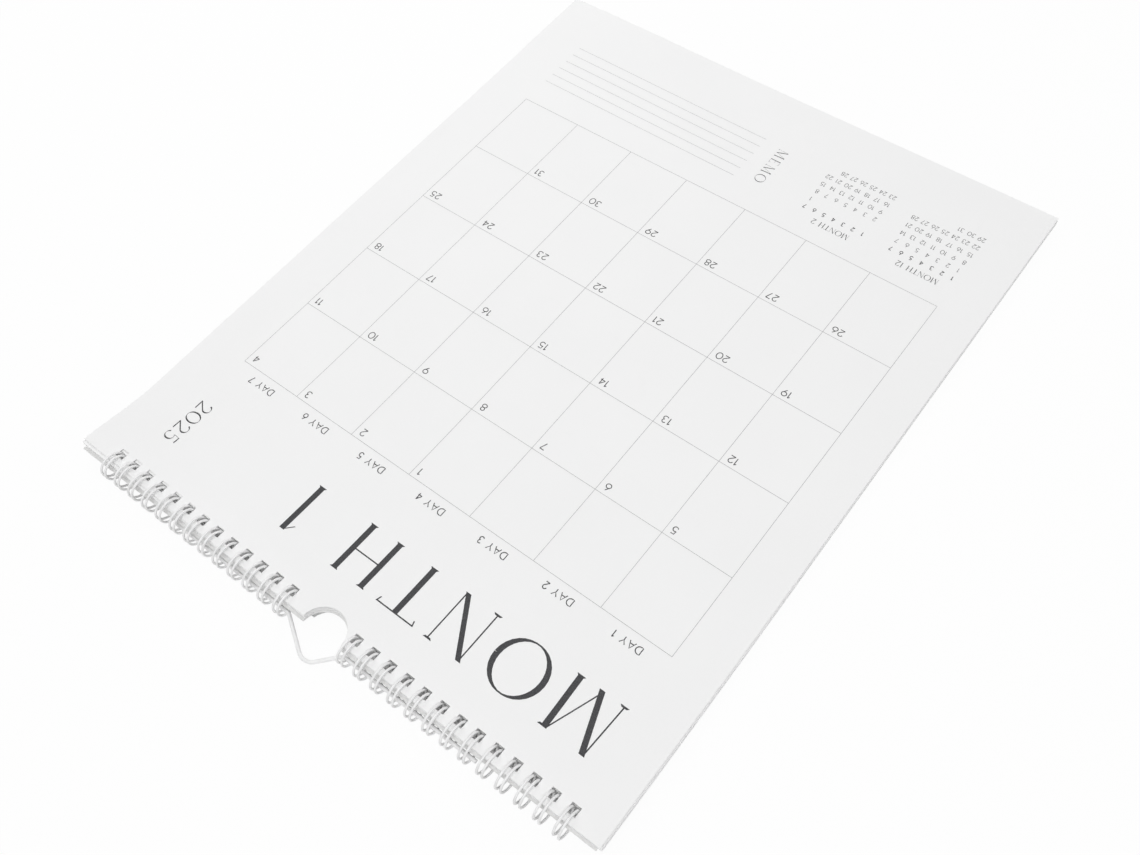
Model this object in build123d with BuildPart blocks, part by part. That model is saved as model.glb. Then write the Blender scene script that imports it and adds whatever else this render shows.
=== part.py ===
from build123d import *
import math
import os

# Wall calendar with twin-loop wire binding, lying face up with its back on the surface.
# Millimetres. +X is the reader's right, +Y points to the bound edge, +Z comes out of the front sheet.
# The origin is the middle of the calendar's footprint, on the surface that it lies on.

# Sheets
sheet_width = 271.5
sheet_length = 338.7
back_thickness = 0.5
month_sheets_thickness = 2.4
front_thickness = 0.3
resting_gap = 0.1
turning_gap = 0.3

# The sheets aren't quite square in their stack
sheet_stagger = 0.6

# How far each sheet's bound edge reaches past the axis of the loops
front_overhang = 0.5
month_sheets_overhang = 0.7
back_overhang = 1.5

# The loops hold the bound edge up, so the sheets rise to it in one long bend
lift = 5.4
lift_length = 120

# Punching: three square holes an inch, with a gap in the row for the hanger's hook
pitch = 25.4 / 3
hole = 4.0
hole_side_play = 0.3
hole_front_play = 0.23
holes_each_side = 13
holes_left_out = 3
hole_row_x = -2.15

# Thumb cut in the bound edge, through which the hook shows
thumb_cut_radius = 9.86
thumb_cut_offset = 3.66
thumb_cut_centre_beyond_edge = 0.5

# Twin-loop wire: each loop is two turns of the wire side by side, closed at the back
loop_diameter = 12.2
loop_wire = 1.0
loop_base_angle = 250
loop_opening = 3.2

# Hanger: two straight arms that lie in the loops, and a hook between them.
# hanger_arm is the arms' reach from the middle of the hole row.
hanger_wire = 1.6
hanger_arm = 79.9
arm_play = 0.15
arm_angle = -56
hook_offset = 3.2
hook_foot_clearance = 0.5
hook_peak = 11.5
hook_bend = 6.0
foot_bend = 4.0

# Stack, from the surface up
month_sheets_z = back_thickness + resting_gap
front_z = month_sheets_z + month_sheets_thickness + turning_gap
stack_height = front_z + front_thickness

# Loops: they rest on the surface, and the holes leave them their play on three sides
turn_radius = (loop_diameter - loop_wire) / 2
turn_spacing = hole - 2 * hole_side_play - loop_wire
loop_z = loop_diameter / 2
loop_tip_angle = loop_base_angle + 360 - math.degrees(loop_opening / turn_radius)
first_loop = (holes_left_out + 1) / 2 * pitch
hole_centre_from_axis = loop_diameter / 2 + hole_front_play - hole / 2

# Hanger arms: just inside the loops, low at their outer side
arm_radius = turn_radius - loop_wire / 2 - arm_play - hanger_wire / 2
arm_from_axis = arm_radius * math.cos(math.radians(arm_angle))
arm_z = loop_z + arm_radius * math.sin(math.radians(arm_angle))

# Hook: as wide as the gap between the two wires allows, its tip down on the surface.
# Its corner stands left of the gap's middle, so its left leg is the steeper one.
hook_foot = first_loop - turn_spacing / 2 - loop_wire / 2 - hook_foot_clearance
left_slope = math.atan(hook_peak / (hook_foot - hook_offset))
right_slope = math.atan(hook_peak / (hook_foot + hook_offset))
corner_to_arc = math.cos((left_slope - right_slope) / 2) / math.cos((left_slope + right_slope) / 2) - 1
hook_reach = hook_peak - hook_bend * corner_to_arc
hook_tilt = math.asin((arm_z - hanger_wire / 2) / hook_reach)
hook_tip_from_axis = arm_from_axis + hook_reach * math.cos(hook_tilt) + hanger_wire / 2

# The footprint is centred on the origin, from the front sheet's lower edge to the hook's tip
axis_y = (sheet_length - front_overhang - hook_tip_from_axis) / 2
hole_row_y = axis_y - hole_centre_from_axis

# One bend for the whole stack: every face is an arc about the same centre
lift_start = axis_y + front_overhang - lift_length
lift_radius = (lift_length**2 + lift**2) / (2 * lift)
lift_centre_z = stack_height + lift_radius


def face_height(flat_z, y):
    """Height at y, on the bend, of a face that lies at flat_z where the stack is flat."""
    radius = lift_centre_z - flat_z
    return lift_centre_z - math.sqrt(radius**2 - (y - lift_start) ** 2)


def sheet(flat_z, thickness, overhang, x):
    """A punched sheet that lies flat at flat_z and bends up to the binding."""
    bound_edge = axis_y + overhang
    lower_edge = bound_edge - sheet_length
    with BuildPart() as leaf:
        with BuildSketch(Plane.YZ.offset(x - sheet_width / 2)):
            with BuildLine():
                under = Line((lower_edge, flat_z), (lift_start, flat_z))
                under_bend = TangentArc(
                    under @ 1, (bound_edge, face_height(flat_z, bound_edge)), tangent=under % 1
                )
                top_z = flat_z + thickness
                top = Line((lower_edge, top_z), (lift_start, top_z))
                top_bend = TangentArc(
                    top @ 1, (bound_edge, face_height(top_z, bound_edge)), tangent=top % 1
                )
                Line(under @ 0, top @ 0)
                Line(under_bend @ 1, top_bend @ 1)
            make_face()
        extrude(amount=sheet_width)

        # Square holes, with none where the hook stands
        with BuildSketch(Plane.XY):
            row_half = (holes_each_side - 1) / 2 * pitch
            for side in (-1, 1):
                with Locations((hole_row_x + side * (first_loop + row_half), hole_row_y)):
                    with GridLocations(pitch, 0, holes_each_side, 1):
                        Rectangle(hole, hole)
            with Locations((hole_row_x - thumb_cut_offset, bound_edge + thumb_cut_centre_beyond_edge)):
                Circle(thumb_cut_radius)
        extrude(amount=loop_diameter + lift, mode=Mode.SUBTRACT)
    return leaf.part


def bend_of_wire(plane, radius, start, turn):
    """An arc about the plane's origin, as one bend of a wire's centreline."""
    with BuildLine(plane) as bend:
        CenterArc((0, 0), radius, start, turn)
    return bend.edges()


def end_plane(x, angle, way):
    """Plane of a half-turn at the end of a loop: way is 1 at its tips and -1 at its base."""
    out_y = math.cos(math.radians(angle))
    out_z = math.sin(math.radians(angle))
    return Plane(
        origin=(x, axis_y + turn_radius * out_y, loop_z + turn_radius * out_z),
        x_dir=(1, 0, 0),
        z_dir=(0, -way * out_y, -way * out_z),
    )


def twin_loops(side):
    """One wire bent into a row of twin loops. It is drawn square, because it repeats so often."""
    loop_turn = loop_tip_angle - loop_base_angle
    base_radius = (pitch - turn_spacing) / 2
    middle = hole_row_x + side * (first_loop + (holes_each_side - 1) / 2 * pitch)
    course = []
    for i in range(holes_each_side):
        x = middle + (i - (holes_each_side - 1) / 2) * pitch
        left_turn = Plane((x - turn_spacing / 2, axis_y, loop_z), x_dir=(0, 1, 0), z_dir=(1, 0, 0))
        right_turn = left_turn.offset(turn_spacing)
        course += bend_of_wire(left_turn, turn_radius, loop_base_angle, loop_turn)
        course += bend_of_wire(end_plane(x, loop_tip_angle, 1), turn_spacing / 2, 180, -180)
        course += bend_of_wire(right_turn, turn_radius, loop_tip_angle, -loop_turn)
        if i < holes_each_side - 1:
            base = end_plane(x + pitch / 2, loop_base_angle, -1)
            course += bend_of_wire(base, base_radius, 180, -180)
    centreline = Wire(course)
    with BuildPart() as wire:
        with BuildSketch(Plane(centreline @ 0, x_dir=(1, 0, 0), z_dir=centreline % 0)):
            Rectangle(loop_wire, loop_wire)
        sweep(path=centreline)
    return wire.part


os.makedirs("parts", exist_ok=True)

# Backing card
back_sheet = sheet(0, back_thickness, back_overhang, -sheet_stagger / 2)
back_sheet.label = "back_sheet"
export_step(back_sheet, "parts/back_sheet.step")

# The other eleven months, as one block of leaves
month_sheets = sheet(month_sheets_z, month_sheets_thickness, month_sheets_overhang, -sheet_stagger / 2)
month_sheets.label = "month_sheets"
export_step(month_sheets, "parts/month_sheets.step")

# The month that shows, which turns about the loops
front_sheet = sheet(front_z, front_thickness, front_overhang, sheet_stagger / 2)
front_sheet.label = "front_sheet"
export_step(front_sheet, "parts/front_sheet.step")

# Binding
for name, side in (("wire_left", -1), ("wire_right", 1)):
    wire = twin_loops(side)
    wire.label = name
    export_step(wire, f"parts/{name}.step")

# Hanger, in the plane through its arms that dips to the surface at the hook's tip
hanger_plane = Plane(
    (hole_row_x, axis_y + arm_from_axis, arm_z),
    x_dir=(1, 0, 0),
    z_dir=(0, math.sin(hook_tilt), math.cos(hook_tilt)),
)
with BuildPart() as hanger:
    with BuildLine(hanger_plane) as course:
        FilletPolyline(
            (-hanger_arm, 0),
            (-hook_foot, 0),
            (-hook_offset, hook_peak),
            (hook_foot, 0),
            (hanger_arm, 0),
            radius=(foot_bend, hook_bend, foot_bend),
        )
    with BuildSketch(Plane(course.line @ 0, z_dir=course.line % 0)):
        Circle(hanger_wire / 2)
    sweep(path=course.line)
hanger.part.label = "hanger"
export_step(hanger.part, "parts/hanger.step")
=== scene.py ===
import math
import random

import bpy
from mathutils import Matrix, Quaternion, Vector, noise
from mathutils.geometry import delaunay_2d_cdt


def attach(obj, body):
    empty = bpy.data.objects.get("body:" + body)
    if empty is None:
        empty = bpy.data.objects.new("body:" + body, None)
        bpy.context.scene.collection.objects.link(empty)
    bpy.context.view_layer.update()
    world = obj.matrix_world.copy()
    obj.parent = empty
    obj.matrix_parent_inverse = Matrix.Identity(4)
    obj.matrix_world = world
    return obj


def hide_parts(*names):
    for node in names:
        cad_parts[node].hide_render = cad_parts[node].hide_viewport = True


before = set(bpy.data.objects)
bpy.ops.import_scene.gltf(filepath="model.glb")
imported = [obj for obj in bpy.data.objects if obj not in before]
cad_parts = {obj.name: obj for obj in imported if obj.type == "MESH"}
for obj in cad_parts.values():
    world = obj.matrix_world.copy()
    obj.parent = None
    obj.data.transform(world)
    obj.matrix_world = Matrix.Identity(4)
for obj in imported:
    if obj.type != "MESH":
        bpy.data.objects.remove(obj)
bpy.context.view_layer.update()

# Sizes in millimetres, as in the part's source. Meshes are written in metres.
MM = 0.001

# Axis of the loops
AXIS_Y = 162.705
AXIS_Z = 6.1

# Sheets, and how far each one's bound edge reaches past the axis
SHEET_WIDTH = 271.5
SHEET_LENGTH = 338.7
SHEET_STAGGER = 0.6
FRONT_OVERHANG = 0.5
UNDER_OVERHANG = 0.7
CARD_OVERHANG = 1.5

# The stack's bend up to the binding
STACK_HEIGHT = 3.6
LIFT_LENGTH = 120
LIFT_RADIUS = 1336.03
LIFT_START = AXIS_Y + FRONT_OVERHANG - LIFT_LENGTH
LIFT_CENTRE_Z = STACK_HEIGHT + LIFT_RADIUS

# Holes and thumb cut
PITCH = 25.4 / 3
HOLE = 4.0
HOLES_EACH_SIDE = 13
FIRST_LOOP = 2 * PITCH
HOLE_ROW_X = -2.15
HOLE_ROW_Y = AXIS_Y - 4.33
CUT_RADIUS = 9.86
CUT_X = HOLE_ROW_X - 3.66
CUT_BEYOND_EDGE = 0.5

# Leaves: one that turns, and eleven under it on the card
FRONT_THICKNESS = 0.25
LEAVES_UNDER = 11
LEAVES_UNDER_Z = 0.6
LEAF_THICKNESS = 0.2
LEAF_STEP = 2.4 / LEAVES_UNDER
CARD_THICKNESS = 0.5

# Mesh of a leaf: distances of its points across and along, and their distance from the cut's rim
COLUMN_STEP = 4.5
FRONT_ROW_STEP = 4.5
UNDER_ROW_STEP = 8.0
CUT_CLEAR = 0.9

# The leaves lie a little askew, in degrees about the middle of their hole row
FRONT_TURN = 0.09
UNDER_TURN = 0.16
UNDER_TURN_SPREAD = 0.01

# How far the edges of the eleven leaves and of the card stand back: the least and the most of them
LEFT_BACK = (0, 0.1)
RIGHT_BACK = (0.1, 0.4)
BOUND_BACK = (0, 0.2)
FOOT_BACK = (0, 0.9)
CARD_LEFT_BACK = 1.8

# Below, a zone gives where something starts to grow and where it has reached its whole.
# Paper that lies loose stands off the flat: in waves, at the right foot corner and at the left bound
# corner. The waves die out over the held zone.
WAVE = 0.25
WAVE_RUN_X = 95
WAVE_RUN_Y = 130
WAVE_SEED = 4.2
HELD_ZONE_Y = (AXIS_Y - 70, AXIS_Y - 14)
FOOT_RISE = 1.1
FOOT_ZONE_X = (0, 110)
FOOT_ZONE_Y = (-90, -175)
BOUND_CORNER_RISE = 0.6
BOUND_CORNER_ZONE_X = (-118, -140)
BOUND_CORNER_ZONE_Y = (60, 165)

# On the right side the stack droops near its bound edge
DROOP_ZONE_X = (92, 136)
DROOP_ZONE_Y = (AXIS_Y - 2, AXIS_Y - 38)

# At the right bound corner the front leaf has slipped down in the loops, and its corner stands back
FRONT_SLIP = 1.2
SLIP_ZONE_X = (40, 136)
SLIP_ZONE_Y = (AXIS_Y - 40, AXIS_Y - 8)
FRONT_CORNER_BACK = 0.6
FRONT_CORNER_ZONE_X = (128, 136)
FRONT_CORNER_ZONE_Y = (AXIS_Y - 30, AXIS_Y)

# The card's corner stands back there too, and past the holes the card reaches farther on the right
CARD_CORNER_BACK = 1.1
CARD_CORNER_ZONE_X = (128, 135)
CARD_CORNER_ZONE_Y = (AXIS_Y - 60, AXIS_Y)
CARD_REACH_LEFT = -0.25
CARD_REACH_RIGHT = 1.0
CARD_REACH_ZONE_Y = (HOLE_ROW_Y + HOLE / 2, AXIS_Y + CARD_OVERHANG)

# Binding wires: angles are in degrees about the loops' axis
WIRE = 1.0
TURN_RADIUS = 5.6
TURN_SPACING = 2.4
LOOP_OPENING = 3.2
LOOP_BASE = 250
LOOP_TIP = LOOP_BASE + 360 - math.degrees(LOOP_OPENING / TURN_RADIUS)

# Hanger
HANGER_WIRE = 1.6
HANGER_ARM = 79.9
ARM_RADIUS = 4.15
ARM_ANGLE = math.radians(-56)
HOOK_OFFSET = 3.2
HOOK_FOOT = 14.733
HOOK_PEAK = 11.5
HOOK_TILT = math.radians(10.887)
HOOK_BEND = 6.0
FOOT_BEND = 4.0

# Page: its own x runs from the grid's left side, and its y from the grid's top to the binding
PAGE_X = -115.23
PAGE_Y = AXIS_Y - 69.3
CELL_WIDTH = 32.45
CELL_HEIGHT = 39.07
COLUMNS = 7
ROWS = 5
GRID_LINE = 0.165

# Dates: how far they end from their cell's right side, and their feet from its top
DATE_IN = 2.55
DATE_DOWN = 5.3

# Note lines: the first one falls a little to the right, and the others lie under it in step
NOTE_LINES = 6
NOTE_LINE = 0.135
NOTE_LINE_X = 113.5
NOTE_LINE_LEFT_Y = -210.2
NOTE_LINE_RIGHT_Y = -211
NOTE_LINE_STEP = 5.58

# Neighbouring months: places of their heading, weekdays and first dates, and the steps between dates
SMALL_HEADING_IN = 4
SMALL_HEADING_Y = -208.3
SMALL_WEEKDAY_Y = -213.6
SMALL_DATE_Y = -219.0
SMALL_STEP_X = 5
SMALL_STEP_Y = 5.33
MONTH_BEFORE_X = 2
MONTH_AFTER_X = 46.3

# Ink: its height over the page. Strokes take turns in six layers, so that they may cross.
INK_HEIGHT = 0.04
INK_LAYER = 0.003
INK_LAYERS = 6

# Light of the studio: how bright it is at the sides and overhead
STUDIO_SIDES = 0.32
STUDIO_TOP = 0.49

# Floor: its reach and height, and how much of it looks pure white
FLOOR_REACH = 3000
FLOOR_Z = -0.2
FLOOR_WHITE = 0.93

# Its piece in full shade: its height, and how far it keeps in from the sheets' edges and the thumb cut
SHADE_Z = -0.1
SHADE_INSET = 2.5
SHADE_CUT_RADIUS = CUT_RADIUS + 1

# Camera, at the photograph's viewing angle
CAMERA_PLACE = Vector((-199.263, 216.591, 406.284)) * MM
CAMERA_AIM = Vector((-24.453, 37.397, 3.6)) * MM
CAMERA_ROLL = math.radians(-7.462)
CAMERA_LENS = 36.44

# Faces that meet at more than this show an edge
SHARP_ANGLE = math.radians(35)


# Small helpers

def smooth_step(value, start, end):
    """0 up to start, 1 from end on, and a smooth rise between them."""
    share = min(max((value - start) / (end - start), 0), 1)
    return share * share * (3 - 2 * share)


def add_object(name, data):
    """An object in the scene."""
    piece = bpy.data.objects.new(name, data)
    bpy.context.scene.collection.objects.link(piece)
    return piece


def add_mesh(name, points, faces, material, body):
    """A smooth mesh piece from points in millimetres, which rides on a body."""
    mesh = bpy.data.meshes.new(name)
    mesh.from_pydata([(x * MM, y * MM, z * MM) for x, y, z in points], [], faces)
    mesh.validate()
    mesh.shade_smooth()
    mesh.set_sharp_from_angle(angle=SHARP_ANGLE)
    mesh.materials.append(material)
    piece = add_object(name, mesh)
    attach(piece, body)
    return piece


# Materials

def start_material(name, colour, roughness, specular):
    """A material, its node tree and shader, and the node that gives places on the piece."""
    material = bpy.data.materials.new(name)
    material.use_nodes = True
    tree = material.node_tree
    shader = tree.nodes["Principled BSDF"]
    shader.inputs["Base Color"].default_value = (*colour, 1)
    shader.inputs["Roughness"].default_value = roughness
    shader.inputs["Specular IOR Level"].default_value = specular
    place = tree.nodes.new("ShaderNodeTexCoord")
    return material, tree, shader, place


def add_noise(tree, place, scale, detail):
    """Noise in the object's own coordinates, with scale in features a metre."""
    texture = tree.nodes.new("ShaderNodeTexNoise")
    texture.inputs["Scale"].default_value = scale
    texture.inputs["Detail"].default_value = detail
    tree.links.new(place.outputs["Object"], texture.inputs["Vector"])
    return texture.outputs["Fac"]


def add_tone(tree, shader, source, low, high):
    """The shader's colour by the value of source, between low and high. Each is (value, colour)."""
    ramp = tree.nodes.new("ShaderNodeValToRGB")
    for element, (value, colour) in zip(ramp.color_ramp.elements, (low, high)):
        element.position = value
        element.color = (*colour, 1)
    tree.links.new(source, ramp.inputs["Fac"])
    tree.links.new(ramp.outputs["Color"], shader.inputs["Base Color"])


def add_bump(tree, shader, source, strength, depth):
    """Bump of the given depth in metres."""
    bump = tree.nodes.new("ShaderNodeBump")
    bump.inputs["Strength"].default_value = strength
    bump.inputs["Distance"].default_value = depth
    tree.links.new(source, bump.inputs["Height"])
    tree.links.new(bump.outputs["Normal"], shader.inputs["Normal"])


def paper_material(name, shade, light, fibre_scale, bump_strength):
    """Uncoated stock: a felted surface, faintly cloudy, with fine fibres."""
    material, tree, shader, place = start_material(name, light, roughness=0.82, specular=0.3)
    shader.inputs["Sheen Weight"].default_value = 0.04
    fibres = add_noise(tree, place, fibre_scale, detail=6)
    clouds = add_noise(tree, place, scale=22, detail=3)
    felt = tree.nodes.new("ShaderNodeMix")
    felt.inputs["Factor"].default_value = 0.45
    tree.links.new(fibres, felt.inputs["A"])
    tree.links.new(clouds, felt.inputs["B"])
    add_tone(tree, shader, felt.outputs["Result"], (0.3, shade), (0.7, light))
    add_bump(tree, shader, fibres, bump_strength, depth=0.00006)
    return material


def coat_material(name, shade, light, roughness):
    """Steel wire in a thin pale nylon coat, with the coat's slight unevenness."""
    material, tree, shader, place = start_material(name, light, roughness, specular=0.3)
    runs = add_noise(tree, place, scale=160, detail=4)
    add_tone(tree, shader, runs, (0.3, shade), (0.65, light))
    peel = add_noise(tree, place, scale=1400, detail=3)
    add_bump(tree, shader, peel, strength=0.15, depth=0.00003)
    return material


def ink_material(name, dense, thin):
    """Print that sinks into the fibres, so its tone isn't quite even."""
    material, tree, shader, place = start_material(name, dense, roughness=0.7, specular=0.25)
    fibres = add_noise(tree, place, scale=2600, detail=5)
    add_tone(tree, shader, fibres, (0.38, dense), (0.72, thin))
    add_bump(tree, shader, fibres, strength=0.1, depth=0.00003)
    return material


paper = paper_material(
    "leaf_paper",
    shade=(0.9, 0.9, 0.9),
    light=(0.925, 0.925, 0.925),
    fibre_scale=2400,
    bump_strength=0.25,
)
card = paper_material(
    "backing_card",
    shade=(0.74, 0.74, 0.735),
    light=(0.83, 0.83, 0.825),
    fibre_scale=1500,
    bump_strength=0.4,
)
coat_shade, coat_light = (0.87, 0.87, 0.87), (0.93, 0.93, 0.93)
wire_coat = coat_material("wire_coat", coat_shade, coat_light, roughness=0.4)
hanger_coat = coat_material("hanger_coat", coat_shade, coat_light, roughness=0.42)
ink_black = ink_material("ink_black", dense=(0.045, 0.045, 0.048), thin=(0.09, 0.09, 0.094))
ink_grey = ink_material("ink_grey", dense=(0.055, 0.055, 0.057), thin=(0.1, 0.1, 0.103))
ink_line = ink_material("ink_line", dense=(0.34, 0.34, 0.345), thin=(0.43, 0.43, 0.435))


# Leaves

def bend_height(flat_z, y):
    """Height at y, on the bend up to the binding, of what lies at flat_z where the stack is flat."""
    run = max(0, y - LIFT_START)
    return LIFT_CENTRE_Z - math.sqrt((LIFT_CENTRE_Z - flat_z) ** 2 - run**2)


def looseness(x, y):
    """How far the top of the stack stands off the flat at a point."""
    free = 1 - smooth_step(y, *HELD_ZONE_Y)
    ripple = 0.5 + 0.5 * noise.noise(Vector((x / WAVE_RUN_X, y / WAVE_RUN_Y, WAVE_SEED)))
    right_foot = smooth_step(x, *FOOT_ZONE_X) * smooth_step(y, *FOOT_ZONE_Y)
    left_bound = smooth_step(x, *BOUND_CORNER_ZONE_X) * smooth_step(y, *BOUND_CORNER_ZONE_Y)
    return free * WAVE * ripple + FOOT_RISE * right_foot + BOUND_CORNER_RISE * left_bound


def leaf_height(x, y, flat_z):
    """Height of a loose leaf. Each leaf of the stack takes part of the top one's looseness."""
    bend = bend_height(flat_z, y) - flat_z
    droop = smooth_step(x, *DROOP_ZONE_X) * smooth_step(y, *DROOP_ZONE_Y)
    return flat_z + bend * (1 - droop) + flat_z / STACK_HEIGHT * looseness(x, y)


def lines_through(low, high, fixed, spacing):
    """Values from low to high that pass through the fixed ones, no farther apart than spacing."""
    stops = [low] + [value for value in sorted(fixed) if low < value < high] + [high]
    lines = []
    for start, end in zip(stops, stops[1:]):
        count = math.ceil((end - start) / spacing)
        lines += [start + (end - start) * i / count for i in range(count)]
    return lines + [high]


def hole_centres():
    """Middles of the square holes along the row."""
    ways = [FIRST_LOOP + i * PITCH for i in range(HOLES_EACH_SIDE)]
    return [HOLE_ROW_X - way for way in ways] + [HOLE_ROW_X + way for way in ways]


def in_hole(x, y):
    """Whether a point lies in one of the square holes."""
    if abs(y - HOLE_ROW_Y) > HOLE / 2:
        return False
    return any(abs(x - centre) < HOLE / 2 for centre in hole_centres())


def leaf_shape(low_x, high_x, low_y, high_y, row_step):
    """Flat triangles of a punched leaf, as points and faces in the plane."""
    edges_x = [centre + side * HOLE / 2 for centre in hole_centres() for side in (-1, 1)]
    edges_y = [HOLE_ROW_Y - HOLE / 2, HOLE_ROW_Y + HOLE / 2]
    cut = Vector((CUT_X, high_y + CUT_BEYOND_EDGE))
    end_angle = math.asin(CUT_BEYOND_EDGE / CUT_RADIUS)
    steps = 40
    points = []
    for i in range(steps + 1):
        angle = math.pi + end_angle + (math.pi - 2 * end_angle) * i / steps
        points.append(cut + CUT_RADIUS * Vector((math.cos(angle), math.sin(angle))))
    rim = [(i, i + 1) for i in range(steps)]
    for x in lines_through(low_x, high_x, edges_x, COLUMN_STEP):
        for y in lines_through(low_y, high_y, edges_y, row_step):
            if (Vector((x, y)) - cut).length > CUT_RADIUS + CUT_CLEAR:
                points.append(Vector((x, y)))
    smallest_gap = 0.0001
    found, _, triangles, _, _, _ = delaunay_2d_cdt(points, rim, [], 0, smallest_gap)
    kept = []
    for triangle in triangles:
        middle = sum((found[i] for i in triangle), Vector((0, 0))) / 3
        if (middle - cut).length > CUT_RADIUS and not in_hole(middle.x, middle.y):
            kept.append(tuple(triangle))
    return found, kept


def slip_front(x, y):
    """Where a point of the front leaf lies once the leaf has slipped."""
    slip = FRONT_SLIP * smooth_step(x, *SLIP_ZONE_X) * smooth_step(y, *SLIP_ZONE_Y)
    corner = smooth_step(x, *FRONT_CORNER_ZONE_X) * smooth_step(y, *FRONT_CORNER_ZONE_Y)
    return x - FRONT_CORNER_BACK * corner, y - slip


def slip_card(x, y):
    """Where a point of the card lies on the card's own outline, which is a little out of square."""
    reach = CARD_REACH_LEFT + (CARD_REACH_RIGHT - CARD_REACH_LEFT) * (x / SHEET_WIDTH + 0.5)
    corner = smooth_step(x, *CARD_CORNER_ZONE_X) * smooth_step(y, *CARD_CORNER_ZONE_Y)
    return x - CARD_CORNER_BACK * corner, y + reach * smooth_step(y, *CARD_REACH_ZONE_Y)


def thick_leaf(flat, triangles, flat_z, thickness, turn=0):
    """Both faces and the rim of a leaf, turned a little about the middle of its hole row."""
    count = len(flat)
    cos, sin = math.cos(turn), math.sin(turn)
    placed = []
    for x, y in flat:
        x, y = x - HOLE_ROW_X, y - HOLE_ROW_Y
        placed.append((HOLE_ROW_X + x * cos - y * sin, HOLE_ROW_Y + x * sin + y * cos))
    points = [(x, y, leaf_height(x, y, flat_z)) for x, y in placed]
    points += [(x, y, z + thickness) for x, y, z in points]
    faces = [(c, b, a) for a, b, c in triangles]
    faces += [(a + count, b + count, c + count) for a, b, c in triangles]
    sides = set()
    for a, b, c in triangles:
        sides.update(((a, b), (b, c), (c, a)))
    for a, b in sides:
        if (b, a) not in sides:
            faces.append((a, b, b + count, a + count))
    return points, faces


def make_front_leaf():
    """The leaf that shows, which turns about the loops."""
    low_x = SHEET_STAGGER / 2 - SHEET_WIDTH / 2
    high_x = SHEET_STAGGER / 2 + SHEET_WIDTH / 2
    bound = AXIS_Y + FRONT_OVERHANG
    flat, triangles = leaf_shape(low_x, high_x, bound - SHEET_LENGTH, bound, FRONT_ROW_STEP)
    flat = [slip_front(x, y) for x, y in flat]
    flat_z = STACK_HEIGHT - FRONT_THICKNESS
    points, faces = thick_leaf(flat, triangles, flat_z, FRONT_THICKNESS, math.radians(FRONT_TURN))
    piece = add_mesh("front_leaf", points, faces, paper, "front_sheet")
    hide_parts("front_sheet")


def make_under_leaves():
    """The eleven leaves under it as one piece, a little turned from the front one."""
    chance = random.Random(7)
    low_x = -(SHEET_STAGGER + SHEET_WIDTH) / 2
    points, faces = [], []
    for i in range(LEAVES_UNDER):
        left = low_x + chance.uniform(*LEFT_BACK)
        right = low_x + SHEET_WIDTH - chance.uniform(*RIGHT_BACK)
        bound = AXIS_Y + UNDER_OVERHANG - chance.uniform(*BOUND_BACK)
        foot = AXIS_Y + UNDER_OVERHANG - SHEET_LENGTH + chance.uniform(*FOOT_BACK)
        flat, triangles = leaf_shape(left, right, foot, bound, UNDER_ROW_STEP)
        turn = math.radians(UNDER_TURN + chance.uniform(-UNDER_TURN_SPREAD, UNDER_TURN_SPREAD))
        flat_z = LEAVES_UNDER_Z + i * LEAF_STEP
        leaf_points, leaf_faces = thick_leaf(flat, triangles, flat_z, LEAF_THICKNESS, turn)
        first = len(points)
        points += leaf_points
        faces += [tuple(corner + first for corner in face) for face in leaf_faces]
    piece = add_mesh("under_leaves", points, faces, paper, "calendar")
    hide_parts("month_sheets")


def make_card():
    """The backing card."""
    low_x = -(SHEET_STAGGER + SHEET_WIDTH) / 2
    left, right = low_x + CARD_LEFT_BACK, low_x + SHEET_WIDTH
    bound = AXIS_Y + CARD_OVERHANG
    flat, triangles = leaf_shape(left, right, bound - SHEET_LENGTH, bound, UNDER_ROW_STEP)
    flat = [slip_card(x, y) for x, y in flat]
    points, faces = thick_leaf(flat, triangles, 0, CARD_THICKNESS)
    piece = add_mesh("back_card", points, faces, card, "calendar")
    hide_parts("back_sheet")


# Wires

def add_wire(name, points, thickness, material, body):
    """A round wire along points in millimetres."""
    curve = bpy.data.curves.new(name, "CURVE")
    curve.dimensions = "3D"
    curve.bevel_depth = thickness / 2 * MM
    curve.bevel_resolution = 4
    curve.use_fill_caps = True
    spline = curve.splines.new("POLY")
    spline.points.add(len(points) - 1)
    for point, (x, y, z) in zip(spline.points, points):
        point.co = (x * MM, y * MM, z * MM, 1)
    spline.use_smooth = True
    curve.materials.append(material)
    piece = add_object(name, curve)
    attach(piece, body)
    return piece


def half_turn(x, angle, radius, way):
    """The bend between two turns of the wire, out from them at their ends (1) or back (-1)."""
    out = Vector((0, math.cos(math.radians(angle)), math.sin(math.radians(angle))))
    along = Vector((0, -out.z, out.y)) * way
    middle = Vector((x, AXIS_Y, AXIS_Z)) + out * TURN_RADIUS
    steps = 12
    points = []
    for i in range(1, steps):
        turn = math.pi * i / steps
        points.append(middle + Vector((-radius * math.cos(turn), 0, 0)) + along * radius * math.sin(turn))
    return points


def loop_turn(x, start, end):
    """One turn of the wire about the binding's axis."""
    steps = 60
    points = []
    for i in range(steps + 1):
        angle = math.radians(start + (end - start) * i / steps)
        y = AXIS_Y + TURN_RADIUS * math.cos(angle)
        z = AXIS_Z + TURN_RADIUS * math.sin(angle)
        points.append(Vector((x, y, z)))
    return points


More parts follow.
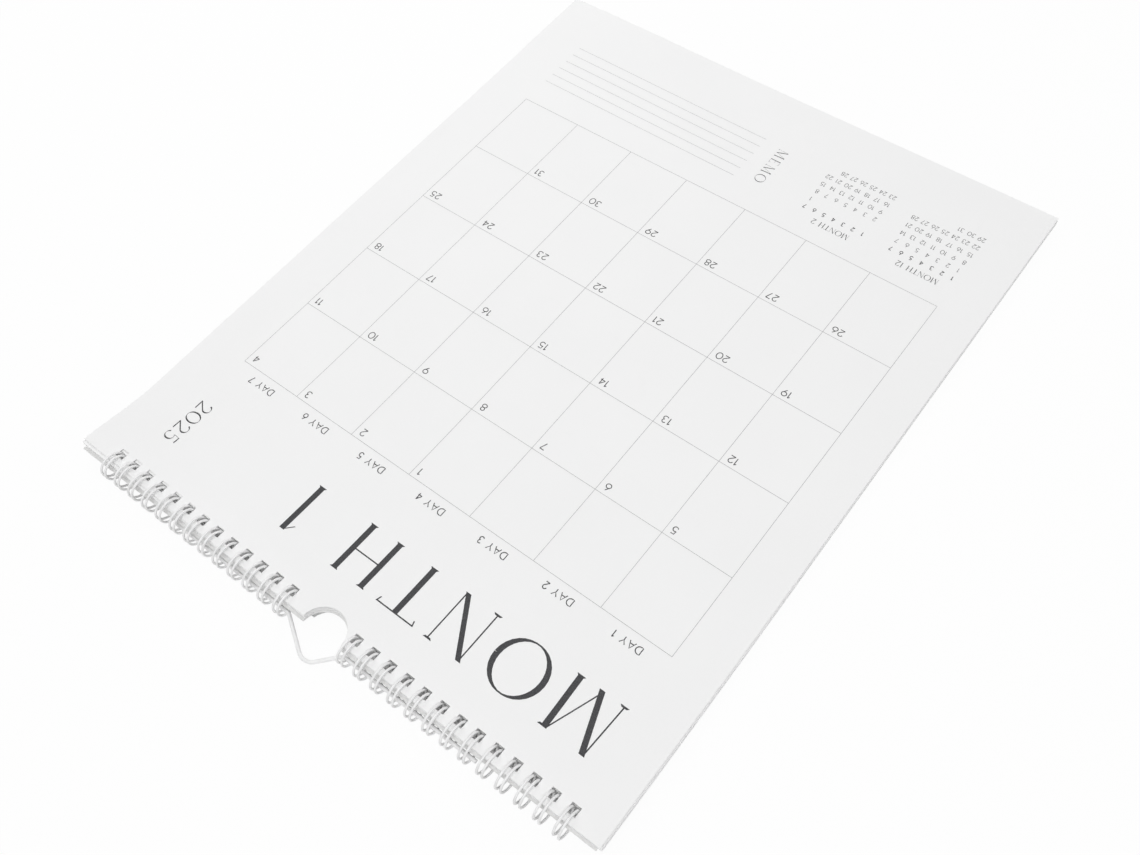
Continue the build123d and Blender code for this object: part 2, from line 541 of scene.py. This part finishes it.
def make_binding(name, side):
    """Thirteen twin loops bent from one wire."""
    middle = HOLE_ROW_X + side * (FIRST_LOOP + (HOLES_EACH_SIDE - 1) / 2 * PITCH)
    points = []
    for i in range(HOLES_EACH_SIDE):
        x = middle + (i - (HOLES_EACH_SIDE - 1) / 2) * PITCH
        points += loop_turn(x - TURN_SPACING / 2, LOOP_BASE, LOOP_TIP)
        points += half_turn(x, LOOP_TIP, TURN_SPACING / 2, 1)
        points += loop_turn(x + TURN_SPACING / 2, LOOP_TIP, LOOP_BASE)
        if i < HOLES_EACH_SIDE - 1:
            points += half_turn(x + PITCH / 2, LOOP_BASE, (PITCH - TURN_SPACING) / 2, -1)
    piece = add_wire("binding_" + name, points, WIRE, wire_coat, "calendar")
    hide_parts("wire_" + name)


def round_corner(before, corner, after, radius):
    """Points of the arc that rounds a corner."""
    back = (before - corner).normalized()
    on = (after - corner).normalized()
    half = back.angle(on) / 2
    centre = corner + (back + on).normalized() * radius / math.sin(half)
    start = corner + back * radius / math.tan(half) - centre
    end = corner + on * radius / math.tan(half) - centre
    turn = start.angle_signed(end)
    steps = 16
    points = []
    for i in range(steps + 1):
        angle = -turn * i / steps
        cos, sin = math.cos(angle), math.sin(angle)
        points.append(centre + Vector((start.x * cos - start.y * sin, start.x * sin + start.y * cos)))
    return points


def make_hanger():
    """The bent wire that the calendar hangs on."""
    corners = [
        Vector((-HANGER_ARM, 0)),
        Vector((-HOOK_FOOT, 0)),
        Vector((-HOOK_OFFSET, HOOK_PEAK)),
        Vector((HOOK_FOOT, 0)),
        Vector((HANGER_ARM, 0)),
    ]
    course = [corners[0]]
    for i, radius in ((1, FOOT_BEND), (2, HOOK_BEND), (3, FOOT_BEND)):
        course += round_corner(corners[i - 1], corners[i], corners[i + 1], radius)
    course.append(corners[-1])
    foot_y = AXIS_Y + ARM_RADIUS * math.cos(ARM_ANGLE)
    foot_z = AXIS_Z + ARM_RADIUS * math.sin(ARM_ANGLE)
    points = []
    for x, y in course:
        points.append((HOLE_ROW_X + x, foot_y + y * math.cos(HOOK_TILT), foot_z - y * math.sin(HOOK_TILT)))
    piece = add_wire("hanger_bar", points, HANGER_WIRE, hanger_coat, "hanger")
    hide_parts("hanger")


# Print: strokes of ink that lie on a page

# Longest part of a straight stroke, which is divided so that it follows the page
BAR_STEP = 3

# How quickly a curved stroke of the heading thins as it turns across
THINNING = 1.5


class Print:
    """Ink of one tone on one page, gathered into one piece."""

    def __init__(self, top_z):
        self.top_z = top_z
        self.points = []
        self.faces = []
        self.strokes = 0

    def strip(self, left, right):
        """A band of ink between two rows of page points."""
        first = len(self.points)
        lift = INK_HEIGHT + INK_LAYER * (self.strokes % INK_LAYERS)
        self.strokes += 1
        for pair in zip(left, right):
            for x, y in pair:
                x, y = x + PAGE_X, y + PAGE_Y
                self.points.append((x, y, self.top_z(x, y) + lift))
        for i in range(len(left) - 1):
            a = first + 2 * i
            self.faces.append((a, a + 1, a + 3, a + 2))

    def bar(self, start, end, width):
        """A straight stroke with square ends."""
        start, end = Vector(start), Vector(end)
        run = end - start
        across = Vector((-run.y, run.x)).normalized() * width / 2
        count = max(1, math.ceil(run.length / BAR_STEP))
        spine = [start + run * i / count for i in range(count + 1)]
        self.strip([point - across for point in spine], [point + across for point in spine])

    def curve(self, spine, thin, thick, up=Vector((0, 1))):
        """A curved stroke, thick where it runs along up and thin where it runs across."""
        last = len(spine) - 1
        left, right = [], []
        for i, point in enumerate(spine):
            along = (spine[min(i + 1, last)] - spine[max(i - 1, 0)]).normalized()
            width = thin + (thick - thin) * abs(along.dot(up)) ** THINNING
            across = Vector((-along.y, along.x)) * width / 2
            left.append(point - across)
            right.append(point + across)
        self.strip(left, right)

    def make(self, name, material, body):
        """Turns the strokes into a piece, with their faces up."""
        faces = []
        for face in self.faces:
            a, b, c = (Vector(self.points[i][:2]) for i in face[:3])
            faces.append(face if (b - a).cross(c - b) > 0 else face[::-1])
        piece = add_mesh(name, self.points, faces, material, body)


def ellipse(x, y, radius_x, radius_y, start, end):
    """Points of an elliptical arc from start to end, in degrees."""
    least_steps, step = 6, 12
    steps = max(least_steps, round(abs(end - start) / step))
    points = []
    for i in range(steps + 1):
        angle = math.radians(start + (end - start) * i / steps)
        points.append((x + radius_x * math.cos(angle), y + radius_y * math.sin(angle)))
    return points


# Plain light letters. Each is its width and its strokes, in heights of a capital.
PLAIN = {
    "0": (0.7, [ellipse(0.35, 0.5, 0.35, 0.5, 0, 360)]),
    "1": (0.24, [[(0.0, 0.8), (0.2, 1.0)], [(0.2, 1.0), (0.2, 0.0)]]),
    "2": (0.56, [ellipse(0.28, 0.7, 0.27, 0.3, 170, -35) + [(0.0, 0.0)], [(0.0, 0.0), (0.56, 0.0)]]),
    "3": (0.54, [ellipse(0.26, 0.75, 0.23, 0.25, 150, -80), ellipse(0.26, 0.27, 0.28, 0.27, 80, -150)]),
    "4": (0.6, [[(0.44, 0.0), (0.44, 1.0)], [(0.44, 1.0), (0.0, 0.28)], [(0.0, 0.28), (0.6, 0.28)]]),
    "5": (0.54, [[(0.5, 1.0), (0.13, 1.0), (0.07, 0.57)] + ellipse(0.26, 0.32, 0.28, 0.32, 125, -150)]),
    "6": (0.6, [ellipse(0.3, 0.31, 0.3, 0.31, 0, 360), [(0.4, 1.0), (0.05, 0.45)]]),
    "7": (0.54, [[(0.0, 1.0), (0.54, 1.0)], [(0.54, 1.0), (0.16, 0.0)]]),
    "8": (0.56, [ellipse(0.28, 0.75, 0.23, 0.25, 0, 360), ellipse(0.28, 0.26, 0.28, 0.26, 0, 360)]),
    "9": (0.6, [ellipse(0.3, 0.69, 0.3, 0.31, 0, 360), [(0.55, 0.55), (0.2, 0.0)]]),
    "A": (0.84, [[(0.0, 0.0), (0.42, 1.0), (0.84, 0.0)], [(0.14, 0.33), (0.7, 0.33)]]),
    "D": (
        0.76,
        [[(0.26, 0.0), (0.0, 0.0), (0.0, 1.0), (0.26, 1.0)] + ellipse(0.26, 0.5, 0.5, 0.5, 90, -90)],
    ),
    "Y": (0.76, [[(0.0, 1.0), (0.38, 0.46), (0.76, 1.0)], [(0.38, 0.46), (0.38, 0.0)]]),
    " ": (0.34, []),
}

# Weights of the heading letters' strokes, and size of their heads and feet, in heights of a capital
THICK = 0.105
THIN = 0.024
SLAB = 0.08
SERIF_BASE = 0.085
SERIF_NECK = 0.05
SERIF_HEIGHT = 0.035

# Heading letters. Each is its width, its bars (start, end, weight), its curves, the places of its heads
# and of its feet, and its level slabs (start, end, level).
HEADING = {
    "M": (
        1.04,
        [
            ((0.1, 0), (0.15, 1), THIN),
            ((0.17, 1), (0.53, 0), THICK),
            ((0.5, 0.02), (0.86, 1), THIN),
            ((0.89, 1), (0.93, 0), THICK),
        ],
        [], [0.93], [0.1, 0.93], [],
    ),
    "O": (0.98, [], [ellipse(0.49, 0.5, 0.45, 0.49, 0, 360)], [], [], []),
    "N": (
        0.84,
        [((0.11, 0), (0.11, 0.97), THIN), ((0.11, 1), (0.74, 0), THICK), ((0.76, 0), (0.76, 1), THIN)],
        [], [0.76], [0.11], [],
    ),
    "T": (
        0.78,
        [((0.39, 0), (0.39, 1), THICK), ((0.03, 0.9), (0.0, 1), THIN), ((0.75, 0.9), (0.78, 1), THIN)],
        [[(0.0, 0.988), (0.39, 0.988), (0.78, 0.988)]],
        [], [0.39], [],
    ),
    "H": (
        0.86,
        [((0.13, 0), (0.13, 1), THICK), ((0.73, 0), (0.73, 1), THICK)],
        [[(0.13, 0.52), (0.4, 0.52), (0.73, 0.52)]],
        [0.13, 0.73], [0.13, 0.73], [],
    ),
    "E": (
        0.6,
        [((0.13, 0), (0.13, 1), THICK), ((0.52, 0.86), (0.54, 1), THIN), ((0.52, 0.14), (0.56, 0), THIN)],
        [[(0.13, 0.988), (0.54, 0.988)], [(0.13, 0.52), (0.44, 0.52)], [(0.13, 0.012), (0.56, 0.012)]],
        [], [], [],
    ),
    "0": (0.76, [], [ellipse(0.38, 0.5, 0.34, 0.49, 0, 360)], [], [], []),
    "1": (0.34, [((0.2, 0), (0.2, 1), THICK), ((0.03, 0.84), (0.18, 1), THIN)], [], [], [0.2], []),
    "2": (
        0.66,
        [],
        [ellipse(0.31, 0.71, 0.25, 0.28, 165, -30) + [(0.3, 0.3), (0.06, 0.03)]],
        [], [], [(0.04, 0.62, 0.04)],
    ),
    "3": (
        0.62,
        [],
        [ellipse(0.28, 0.75, 0.22, 0.24, 150, -80), ellipse(0.29, 0.27, 0.27, 0.26, 80, -150)],
        [], [], [],
    ),
    "5": (
        0.64,
        [((0.13, 0.6), (0.17, 0.96), THIN)],
        [ellipse(0.29, 0.32, 0.26, 0.31, 125, -150)],
        [], [], [(0.15, 0.55, 0.96)],
    ),
    " ": (0.42, [], [], [], [], []),
}


def write_plain(ink, text, x, y, size, spacing, weight, align="middle", widen=1):
    """Plain letters on the page, with their feet at y."""
    across = size * widen
    width = sum(PLAIN[letter][0] for letter in text) * across + spacing * (len(text) - 1)
    x -= {"middle": width / 2, "right": width}[align]
    for letter in text:
        letter_width, strokes = PLAIN[letter]
        for stroke in strokes:
            ink.curve([Vector((x + u * across, y + v * size)) for u, v in stroke], weight, weight)
        x += letter_width * across + spacing


def write_heading(ink, text, x, y, size, spacing, turned=False, weight=1):
    """Heading letters on the page. Turned ones read up the page, with their heads to its left."""
    up = Vector((1, 0)) if turned else Vector((0, 1))
    offset = 0
    bar_steps = 8

    def place(u, v):
        """Page point at u, v of the letter, in heights of a capital."""
        u, v = offset + u * size, v * size
        return (x - v, y + u) if turned else (x + u, y + v)

    for letter in text:
        width, bars, curves, heads, feet, slabs = HEADING[letter]
        for (start_u, start_v), (end_u, end_v), bar_weight in bars:
            half = bar_weight * weight / 2
            rows = []
            for side in (-half, half):
                row = []
                for i in range(bar_steps + 1):
                    share = i / bar_steps
                    u = start_u + side + (end_u - start_u) * share
                    row.append(place(u, start_v + (end_v - start_v) * share))
                rows.append(row)
            ink.strip(*rows)
        for stroke in curves:
            spine = [Vector(place(u, v)) for u, v in stroke]
            ink.curve(spine, THIN * size * weight, THICK * size * weight, up)
        for start, end, level in slabs:
            low, high = level - SLAB * weight / 2, level + SLAB * weight / 2
            ink.strip([place(start, low), place(end, low)], [place(start, high), place(end, high)])
        for at, level, way in [(head, 1, -1) for head in heads] + [(foot, 0, 1) for foot in feet]:
            neck = level + way * SERIF_HEIGHT
            ink.strip(
                [place(at - SERIF_BASE, level), place(at - SERIF_NECK, neck)],
                [place(at + SERIF_BASE, level), place(at + SERIF_NECK, neck)],
            )
        offset += width * size + spacing


def month_days(first_weekday, days):
    """(day, column, row) of each day of a month whose first day is in column first_weekday."""
    for day in range(1, days + 1):
        place = first_weekday + day - 1
        yield day, place % COLUMNS, place // COLUMNS


def small_month(ink, heading, left, month, first_weekday, days):
    """A neighbouring month in small type under the grid."""
    x = left + SMALL_HEADING_IN
    write_heading(heading, f"MONTH {month}", x, SMALL_HEADING_Y, size=3.0, spacing=0.35)
    for column in range(COLUMNS):
        x = left + SMALL_STEP_X * column
        write_plain(ink, str(column + 1), x, SMALL_WEEKDAY_Y, size=2.2, spacing=0.2, weight=0.32)
    for day, column, row in month_days(first_weekday, days):
        x = left + SMALL_STEP_X * column
        y = SMALL_DATE_Y - SMALL_STEP_Y * row
        write_plain(ink, str(day), x, y, size=2.3, spacing=0.55, weight=0.2)


def print_page(name, body, top_z, month, year, first_weekday, days, before, after):
    """One month's page: heading, year, grid with its dates, note lines and the neighbouring months."""
    black = Print(top_z)
    write_heading(black, f"MONTH {month}", x=0, y=25.2, size=23.4, spacing=5.6)
    write_heading(black, str(year), x=226.6, y=25, size=7.5, spacing=0.9, turned=True, weight=0.85)
    black.make(name + "_heading", ink_black, body)

    grey = Print(top_z)
    write_heading(grey, "MEMO", x=104.9, y=-236.5, size=5.2, spacing=1.5, turned=True, weight=0.7)
    for column in range(COLUMNS):
        middle = (column + 0.5) * CELL_WIDTH
        write_plain(grey, f"DAY {column + 1}", middle, y=3.65, size=3.1, spacing=0.85, weight=0.4)
    for day, column, row in month_days(first_weekday, days):
        x = (column + 1) * CELL_WIDTH - DATE_IN
        y = -row * CELL_HEIGHT - DATE_DOWN
        write_plain(grey, str(day), x, y, size=3.3, spacing=0.85, weight=0.37, align="right", widen=1.15)
    heads = Print(top_z)
    small_month(grey, heads, MONTH_BEFORE_X, *before)
    small_month(grey, heads, MONTH_AFTER_X, *after)
    grey.make(name + "_numbers", ink_grey, body)
    heads.make(name + "_small_headings", ink_grey, body)

    lines = Print(top_z)
    width, height = COLUMNS * CELL_WIDTH, ROWS * CELL_HEIGHT
    for column in range(COLUMNS + 1):
        lines.bar((column * CELL_WIDTH, 0), (column * CELL_WIDTH, -height), GRID_LINE)
    corner = GRID_LINE / 2
    for row in range(ROWS + 1):
        lines.bar((-corner, -row * CELL_HEIGHT), (width + corner, -row * CELL_HEIGHT), GRID_LINE)
    for row in range(NOTE_LINES):
        drop = NOTE_LINE_STEP * row
        lines.bar((NOTE_LINE_X, NOTE_LINE_LEFT_Y - drop), (width, NOTE_LINE_RIGHT_Y - drop), NOTE_LINE)
    lines.make(name + "_lines", ink_line, body)


def front_top(x, y):
    """Height of the printed face of the leaf that turns."""
    return leaf_height(x, y, STACK_HEIGHT - FRONT_THICKNESS) + FRONT_THICKNESS


def under_top(x, y):
    """Height of the printed face of the next leaf."""
    return leaf_height(x, y, LEAVES_UNDER_Z + (LEAVES_UNDER - 1) * LEAF_STEP) + LEAF_THICKNESS


# Stage

def larger_of(tree, first, second):
    """The larger of two values."""
    larger = tree.nodes.new("ShaderNodeMath")
    larger.operation = "MAXIMUM"
    tree.links.new(first, larger.inputs[0])
    tree.links.new(second, larger.inputs[1])
    return larger.outputs[0]


def direct_rays(tree):
    """1 for rays from the camera, reflections and glass, and 0 for the rest."""
    path = tree.nodes.new("ShaderNodeLightPath")
    shown = larger_of(tree, path.outputs["Is Camera Ray"], path.outputs["Is Glossy Ray"])
    return larger_of(tree, shown, path.outputs["Is Transmission Ray"])


def add_floor(name, rim, z, white):
    """A flat piece of floor from its rim in millimetres. Gives its node tree and shader."""
    mesh = bpy.data.meshes.new(name)
    mesh.from_pydata([(x * MM, y * MM, z * MM) for x, y in rim], [], [tuple(range(len(rim)))])
    material = bpy.data.materials.new(name)
    material.use_nodes = True
    shader = material.node_tree.nodes["Principled BSDF"]
    shader.inputs["Base Color"].default_value = (white, white, white, 1)
    shader.inputs["Roughness"].default_value = 0.9
    mesh.materials.append(material)
    add_object(name, mesh)
    return material.node_tree, shader


def make_floor():
    """A white floor that keeps a faint shadow."""
    low, high = -FLOOR_REACH, FLOOR_REACH
    rim = [(low, low), (high, low), (high, high), (low, high)]
    tree, shader = add_floor("floor", rim, FLOOR_Z, white=0.9)
    share = tree.nodes.new("ShaderNodeMath")
    share.operation = "MULTIPLY"
    share.inputs[1].default_value = FLOOR_WHITE
    tree.links.new(direct_rays(tree), share.inputs[0])
    glow = tree.nodes.new("ShaderNodeEmission")
    glow.inputs["Strength"].default_value = 1.0
    mix = tree.nodes.new("ShaderNodeMixShader")
    tree.links.new(share.outputs[0], mix.inputs["Fac"])
    tree.links.new(shader.outputs[0], mix.inputs[1])
    tree.links.new(glow.outputs[0], mix.inputs[2])
    tree.links.new(mix.outputs[0], tree.nodes["Material Output"].inputs["Surface"])


def make_shade():
    """The floor right under the sheets, which keeps its full shade: it shows through their holes."""
    low_x, high_x = SHADE_INSET - SHEET_WIDTH / 2, SHEET_WIDTH / 2 - SHADE_INSET
    low_y, high_y = AXIS_Y - SHEET_LENGTH + SHADE_INSET, AXIS_Y - SHADE_INSET
    cut_y = AXIS_Y + CUT_BEYOND_EDGE
    end_angle = math.asin((cut_y - high_y) / SHADE_CUT_RADIUS)
    rim = [(low_x, high_y), (low_x, low_y), (high_x, low_y), (high_x, high_y)]
    steps = 24
    for i in range(steps + 1):
        angle = -end_angle - (math.pi - 2 * end_angle) * i / steps
        rim.append((CUT_X + SHADE_CUT_RADIUS * math.cos(angle), cut_y + SHADE_CUT_RADIUS * math.sin(angle)))
    add_floor("floor_shade", rim, SHADE_Z, white=0.85)


def make_world():
    """A white studio, brightest overhead and dimmer at the sides, seen as pure white."""
    world = bpy.data.worlds.new("studio")
    bpy.context.scene.world = world
    world.use_nodes = True
    tree = world.node_tree
    background = tree.nodes["Background"]
    background.inputs["Color"].default_value = (1, 1, 1, 1)
    way = tree.nodes.new("ShaderNodeTexCoord")
    split = tree.nodes.new("ShaderNodeSeparateXYZ")
    tree.links.new(way.outputs["Generated"], split.inputs["Vector"])
    rise = tree.nodes.new("ShaderNodeMapRange")
    rise.inputs["From Min"].default_value = 0
    rise.inputs["From Max"].default_value = 1
    rise.inputs["To Min"].default_value = STUDIO_SIDES
    rise.inputs["To Max"].default_value = STUDIO_TOP
    tree.links.new(split.outputs["Z"], rise.inputs["Value"])
    mix = tree.nodes.new("ShaderNodeMix")
    mix.inputs["B"].default_value = 1.0
    tree.links.new(direct_rays(tree), mix.inputs["Factor"])
    tree.links.new(rise.outputs["Result"], mix.inputs["A"])
    tree.links.new(mix.outputs["Result"], background.inputs["Strength"])


def add_lamp(name, place, power, size):
    """A square softbox that faces the calendar. Its place and size are in metres, its power in watts."""
    lamp = bpy.data.lights.new(name, "AREA")
    lamp.energy = power
    lamp.size = size
    holder = add_object(name, lamp)
    holder.location = place
    holder.rotation_euler = (-Vector(place)).to_track_quat("-Z", "Y").to_euler()
    holder.visible_camera = False


def make_camera():
    """The photograph's view."""
    data = bpy.data.cameras.new("camera")
    data.lens = CAMERA_LENS
    data.sensor_width = 36
    data.sensor_fit = "HORIZONTAL"
    data.clip_start = 0.01
    camera = add_object("camera", data)
    look = (CAMERA_AIM - CAMERA_PLACE).to_track_quat("-Z", "Y")
    camera.rotation_mode = "QUATERNION"
    camera.rotation_quaternion = look @ Quaternion((0, 0, 1), CAMERA_ROLL)
    camera.location = CAMERA_PLACE
    bpy.context.scene.camera = camera


make_front_leaf()
make_under_leaves()
make_card()
make_binding("left", -1)
make_binding("right", 1)
make_hanger()

# A neighbouring month is its number, the column of its first day, and its days
print_page(
    "page", "front_sheet", front_top,
    month=1, year=2025, first_weekday=3, days=31, before=(12, 0, 31), after=(2, 6, 28),
)
print_page(
    "next_page", "calendar", under_top,
    month=2, year=2025, first_weekday=6, days=28, before=(1, 3, 31), after=(3, 6, 31),
)

make_floor()
make_shade()
make_world()
add_lamp("key", place=(-0.5, 0.7, 1.8), power=17.6, size=1.1)
add_lamp("fill", place=(0.5, -0.4, 0.65), power=2.1, size=0.6)
make_camera()
bpy.context.scene.view_settings.view_transform = "Standard"
